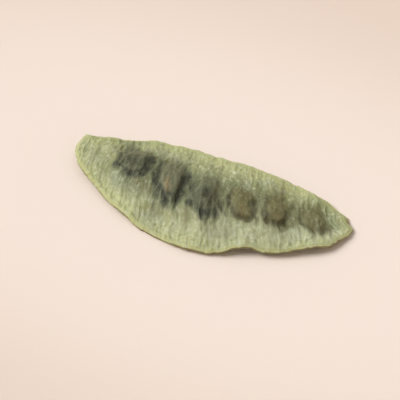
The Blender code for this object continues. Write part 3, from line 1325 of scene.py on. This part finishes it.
@dataclass
class SennaPod:
    """The pod's fine mesh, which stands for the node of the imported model."""

    lie: Lie
    finish: PodFinish
    cells_along: int = 300
    cells_across: int = 138
    wall_cuts: int = 5
    rim_crowding: float = 0.35
    grain_warp: float = 0.9
    grain_warp_cell: float = 2.8 * MM
    grain_warp_seeds: tuple[int, int] = (53, 59)
    grain_per_face: float = 60.0
    relief_unit: float = 0.1 * MM
    wall_layer: float = 0.9
    scar_mark_half_angle: float = 9
    scar_mark_from_radius: float = 0.97

    @property
    def skin(self) -> Skin:
        """The pod's skin."""
        return self.lie.skin

    @property
    def row(self) -> SeedRow:
        """The pod's row of seeds."""
        return self.lie.skin.row

    def slab(self) -> bpy.types.Object:
        """A square slab from -1 to 1, drawn out of a grid, with its wall cut into rings.

        Returns:
            The slab's object.
        """
        bpy.ops.object.select_all(action="DESELECT")
        bpy.ops.mesh.primitive_grid_add(
            x_subdivisions=self.cells_along, y_subdivisions=self.cells_across, size=2, location=(0, 0, -1)
        )
        slab = bpy.context.active_object
        slab.name = "pod"
        bpy.ops.object.transform_apply(location=True, rotation=True, scale=True)
        bpy.ops.object.mode_set(mode="EDIT")
        bpy.ops.mesh.select_all(action="SELECT")
        bpy.ops.mesh.extrude_region_move(TRANSFORM_OT_translate={"value": (0, 0, 2)})
        bpy.ops.object.mode_set(mode="OBJECT")
        self.select_upright_edges(slab.data)
        bpy.ops.object.mode_set(mode="EDIT")
        bpy.ops.mesh.subdivide(number_cuts=self.wall_cuts)
        bpy.ops.mesh.select_all(action="SELECT")
        bpy.ops.mesh.normals_make_consistent(inside=False)
        bpy.ops.object.mode_set(mode="OBJECT")
        return slab

    def select_upright_edges(self, mesh: bpy.types.Mesh) -> None:
        """Selects the edges of the slab's wall that run from its lower face to its upper one.

        Args:
            mesh: The slab's mesh.
        """
        heights = self.points_of(mesh)[:, 2]
        ends = np.empty(len(mesh.edges) * 2, dtype=np.int32)
        mesh.edges.foreach_get("vertices", ends)
        ends = ends.reshape(-1, 2)
        upright = np.abs(heights[ends[:, 0]] - heights[ends[:, 1]]) > 1
        for items in (mesh.vertices, mesh.polygons):
            items.foreach_set("select", np.zeros(len(items), dtype=bool))
        mesh.edges.foreach_set("select", upright)
        bpy.context.tool_settings.mesh_select_mode = (False, True, False)

    def points_of(self, mesh: bpy.types.Mesh) -> Array:
        """The points of a mesh.

        Args:
            mesh: The mesh.

        Returns:
            One row for each point.
        """
        points = np.empty(len(mesh.vertices) * 3)
        mesh.vertices.foreach_get("co", points)
        return points.reshape(-1, 3)

    def disc_of(self, slab: Array) -> Disc:
        """Crowds the slab's points towards its sides and presses them round.

        Args:
            slab: The slab's points.

        Returns:
            Their places on the disc.
        """
        square = slab[:, :2]
        square = square * (1 + self.rim_crowding * (1 - square * square) / 2)
        x, y = square[:, 0], square[:, 1]
        return Disc(x * np.sqrt(1 - y**2 / 2), y * np.sqrt(1 - x**2 / 2))

    def shaped(self, disc: Disc, layer: Array) -> Array:
        """The pod's points.

        Args:
            disc: The points of the disc.
            layer: 1 on the top face, -1 on the under face and in between on the wall.

        Returns:
            One row for each point, in metres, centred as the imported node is.
        """
        settled = self.lie.settled(disc)
        under = self.skin.half_thickness(disc, Face.UNDER, settled)
        top = self.skin.half_thickness(disc, Face.TOP, np.zeros_like(settled))
        middle = self.lie.middle(disc, under, settled)
        seam = self.skin.seam_depth * hump(layer / self.skin.seam_half_height) * (np.abs(layer) < 1)
        x, y = self.row.outline.plan(disc, self.skin.rounding * (1 - layer**2) - seam)
        z = middle + np.where(layer > 0, top * layer, under * layer)
        points = np.stack([x, y, z], axis=1)
        middle_x, middle_y, _ = (points.max(axis=0) + points.min(axis=0)) / 2
        return points - (middle_x, middle_y, 0)

    def grain(self, disc: Disc, layer: Array) -> Array:
        """The coordinates that the finish's noises are drawn on.

        Args:
            disc: The points of the disc.
            layer: 1 on the top face, -1 on the under face and in between on the wall.

        Returns:
            One row for each point, in millimetres along and across the pod, with the faces far apart.
        """
        along, across = self.row.along_and_across(disc)
        cell_x, cell_y = along / self.grain_warp_cell, across / self.grain_warp_cell
        warp_x, warp_y = (Noise(seed).cloud(cell_x, cell_y) for seed in self.grain_warp_seeds)
        grain_x, grain_y = along / MM + self.grain_warp * warp_x, across / MM + self.grain_warp * warp_y
        return np.stack([grain_x, grain_y, np.where(layer >= 0, 0.0, self.grain_per_face)], axis=1)

    def own_face(self, relief: Callable[[Disc, Face], Array], disc: Disc, layer: Array) -> Array:
        """A relief's height at each point, on the point's own face."""
        return np.where(layer >= 0, relief(disc, Face.TOP), relief(disc, Face.UNDER))

    def marks(self, disc: Disc, layer: Array) -> dict[Mark, Array]:
        """The numbers that the finish reads.

        Args:
            disc: The points of the disc.
            layer: 1 on the top face, -1 on the under face and in between on the wall.

        Returns:
            Each mark's number at every point.
        """
        marks = self.row.stain_marks(disc, np.where(layer >= 0, 0.0, self.skin.noise_per_face))
        near_scar = hump(disc.angle_from(self.row.outline.scar_angle) / self.scar_mark_half_angle)
        at_rim = ease((disc.radius - self.scar_mark_from_radius) / (1 - self.scar_mark_from_radius))
        return marks | {
            Mark.RIM: self.row.outline.rim_distance(disc) / MM,
            Mark.SMUDGE_AND_SHADE: self.row.smudged_and_shaded(disc),
            Mark.BAND: self.row.band(disc),
            Mark.PALE: self.row.paleness(disc),
            Mark.BROWN: self.row.brownness(disc),
            Mark.RIB: self.row.ribs(disc),
            Mark.RELIEF: self.own_face(self.skin.fine_relief, disc, layer) / self.relief_unit,
            Mark.VEIN: self.own_face(self.skin.veins, disc, layer) / self.relief_unit,
            Mark.WALL: np.where(np.abs(layer) < self.wall_layer, 1.0, 0.0),
            Mark.SCAR: near_scar * at_rim,
        }

    def store(self, mesh: bpy.types.Mesh, disc: Disc, layer: Array) -> None:
        """Stores what the finish reads at each point of the mesh.

        Args:
            mesh: The mesh.
            disc: Its points on the disc.
            layer: 1 on the top face, -1 on the under face and in between on the wall.
        """
        stored = mesh.attributes.new(Mark.GRAIN.value, "FLOAT_VECTOR", "POINT")
        stored.data.foreach_set("vector", self.grain(disc, layer).astype(np.float32).ravel())
        for mark, numbers in self.marks(disc, layer).items():
            stored = mesh.attributes.new(mark.value, "FLOAT", "POINT")
            stored.data.foreach_set("value", numbers.astype(np.float32))

    def build(self) -> bpy.types.Object:
        """Makes the pod, dresses it and sets it in the frame.

        Returns:
            The pod's object.
        """
        pod = self.slab()
        slab = self.points_of(pod.data)
        disc, layer = self.disc_of(slab), slab[:, 2]
        self.store(pod.data, disc, layer)
        pod.data.vertices.foreach_set("co", self.shaped(disc, layer).ravel())
        pod.data.update()
        bpy.ops.object.select_all(action="DESELECT")
        pod.select_set(True)
        bpy.context.view_layer.objects.active = pod
        bpy.ops.object.shade_smooth()
        pod.data.materials.clear()
        pod.data.materials.append(self.finish.material())
        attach(pod, "root")
        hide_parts(NODE)
        LOG.info("%s: %d points, %d faces", pod.name, len(pod.data.vertices), len(pod.data.polygons))
        return pod


@dataclass
class Studio:
    """The pale sweep that the pod lies on, soft light from above, and the camera."""

    azimuth: float = 24
    elevation: float = 50
    lens: float = 250
    sensor: float = 36
    frame_width: float = 62 * MM
    aim: Triple = (-0.6 * MM, -0.25 * MM, 1.5 * MM)
    clip_start: float = 0.01
    clip_end: float = 10
    sweep_flat_radius: float = 0.6
    sweep_curve_radius: float = 0.5
    sweep_rings: int = 16
    sweep_sides: int = 96
    sweep_roughness: float = 0.9
    sweep_specular: float = 0.1
    # The floor's colour is a painted pool of light: palest in the middle, darker further out.
    floor_light_pool: Colour = (0.86, 0.752, 0.672)
    floor_far: Colour = (0.76, 0.632, 0.54)
    floor_fade_from: float = 18 * MM
    floor_fade_to: float = 55 * MM
    floor_stretch: float = 0.5
    no_glow: Colour = (0.0, 0.0, 0.0)
    glow_reach: float = 0.9
    glow_height: float = 0.35
    glow_strength: float = 0.75
    world_colour: Colour = (1.0, 0.98, 0.96)
    world_strength: float = 0.25
    key_azimuth: float = -80
    key_elevation: float = 46
    key_strength: float = 2.5
    key_spread: float = 38
    fill_azimuth: float = -170
    fill_elevation: float = 50
    fill_strength: float = 0.7
    fill_spread: float = 70

    def direction(self, azimuth: float, elevation: float) -> Vector:
        """The unit vector from the pod towards an azimuth and elevation, both in degrees."""
        a, e = math.radians(azimuth), math.radians(elevation)
        return Vector((math.sin(a) * math.cos(e), -math.cos(a) * math.cos(e), math.sin(e)))

    def sweep_material(self) -> bpy.types.Material:
        """Makes the sweep's material.

        Returns:
            The material, palest under the pod as a painted pool of light and darker further out, which glows
            a little on the side that the lights don't reach, as painted light.
        """
        shader = Shader("pale_sweep")
        place = shader.node("ShaderNodeTexCoord", {}, {}).outputs["Object"]
        turn = (0, 0, math.radians(-self.azimuth))
        inputs = {"Vector": place, "Rotation": turn, "Scale": (self.floor_stretch, 1, 1)}
        turned = shader.node("ShaderNodeMapping", {}, inputs).outputs["Vector"]
        length = shader.node("ShaderNodeVectorMath", {"operation": "LENGTH"}, {0: turned}).outputs["Value"]
        far = shader.between(Value(shader, length), self.floor_fade_from, self.floor_fade_to)
        parts = shader.node("ShaderNodeSeparateXYZ", {}, {0: place}).outputs
        unlit = shader.between(0 - Value(shader, parts["X"]), 0.0, self.glow_reach)
        glow = unlit * shader.between(Value(shader, parts["Z"]), 0.0, self.glow_height)
        return shader.finished(
            {
                "Base Color": shader.mix(far, self.floor_light_pool, self.floor_far),
                "Emission Color": shader.mix(glow, self.no_glow, self.floor_far),
                "Emission Strength": self.glow_strength,
                "Roughness": self.sweep_roughness,
                "Specular IOR Level": self.sweep_specular,
            }
        )

    def sweep(self) -> bpy.types.Object:
        """Makes the floor, which curves up all round into a backdrop.

        Returns:
            The floor's object.
        """
        bpy.ops.object.select_all(action="DESELECT")
        bpy.ops.mesh.primitive_circle_add(
            vertices=self.sweep_sides, radius=self.sweep_flat_radius, fill_type="TRIFAN"
        )
        floor = bpy.context.active_object
        floor.name = "sweep"
        bpy.ops.object.mode_set(mode="EDIT")
        bpy.ops.mesh.select_all(action="SELECT")
        bpy.ops.mesh.region_to_loop()
        for ring in range(self.sweep_rings):
            before = math.pi / 2 * ring / self.sweep_rings
            after = math.pi / 2 * (ring + 1) / self.sweep_rings
            out = self.sweep_flat_radius + self.sweep_curve_radius * math.sin(after)
            was = self.sweep_flat_radius + self.sweep_curve_radius * math.sin(before)
            rise = self.sweep_curve_radius * (math.cos(before) - math.cos(after))
            bpy.ops.mesh.extrude_region_move(TRANSFORM_OT_translate={"value": (0, 0, rise)})
            scale = out / was
            bpy.ops.transform.resize(value=(scale, scale, 1), center_override=(0, 0, 0))
        bpy.ops.object.mode_set(mode="OBJECT")
        bpy.ops.object.shade_smooth()
        floor.data.materials.append(self.sweep_material())
        LOG.info("%s: %d faces", floor.name, len(floor.data.polygons))
        return floor

    def light(self, name: str, azimuth: float, elevation: float, strength: float, spread: float) -> None:
        """Adds a soft light from far away.

        Args:
            name: The light's name.
            azimuth: Where it comes from round the pod, in degrees.
            elevation: How high it comes from, in degrees.
            strength: Its strength, in watts a square metre.
            spread: How wide it looks from the pod, in degrees, which sets how soft its shadows are.
        """
        data = bpy.data.lights.new(name, "SUN")
        data.energy = strength
        data.angle = math.radians(spread)
        lamp = bpy.data.objects.new(name, data)
        back = self.direction(azimuth, elevation)
        lamp.location = back
        lamp.rotation_euler = (-back).to_track_quat("-Z", "Y").to_euler()
        bpy.context.scene.collection.objects.link(lamp)

    def camera(self) -> None:
        """Adds the camera, which looks down on the face that the photograph shows."""
        data = bpy.data.cameras.new("camera")
        data.lens = self.lens
        data.sensor_width = self.sensor
        data.clip_start = self.clip_start
        data.clip_end = self.clip_end
        back = self.direction(self.azimuth, self.elevation)
        camera = bpy.data.objects.new("camera", data)
        camera.location = Vector(self.aim) + back * (self.frame_width * self.lens / self.sensor)
        camera.rotation_euler = (-back).to_track_quat("-Z", "Y").to_euler()
        bpy.context.scene.collection.objects.link(camera)
        bpy.context.scene.camera = camera

    def world(self) -> None:
        """Sets the plain light from all round, and the plain way that colours are shown."""
        world = bpy.data.worlds.new("soft_light")
        world.use_nodes = True
        background = world.node_tree.nodes["Background"]
        background.inputs["Color"].default_value = (*self.world_colour, 1)
        background.inputs["Strength"].default_value = self.world_strength
        bpy.context.scene.world = world
        bpy.context.scene.view_settings.view_transform = "Standard"

    def build(self) -> None:
        """Makes the whole studio."""
        self.world()
        self.sweep()
        self.light("key", self.key_azimuth, self.key_elevation, self.key_strength, self.key_spread)
        self.light("fill", self.fill_azimuth, self.fill_elevation, self.fill_strength, self.fill_spread)
        self.camera()


def main() -> None:
    """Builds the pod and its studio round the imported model."""
    logging.basicConfig(level=logging.INFO, format="%(name)s %(message)s")
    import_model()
    row = SeedRow(Outline())
    SennaPod(Lie(Skin(row)), PodFinish()).build()
    Studio().build()


if __name__ == "__main__":
    main()
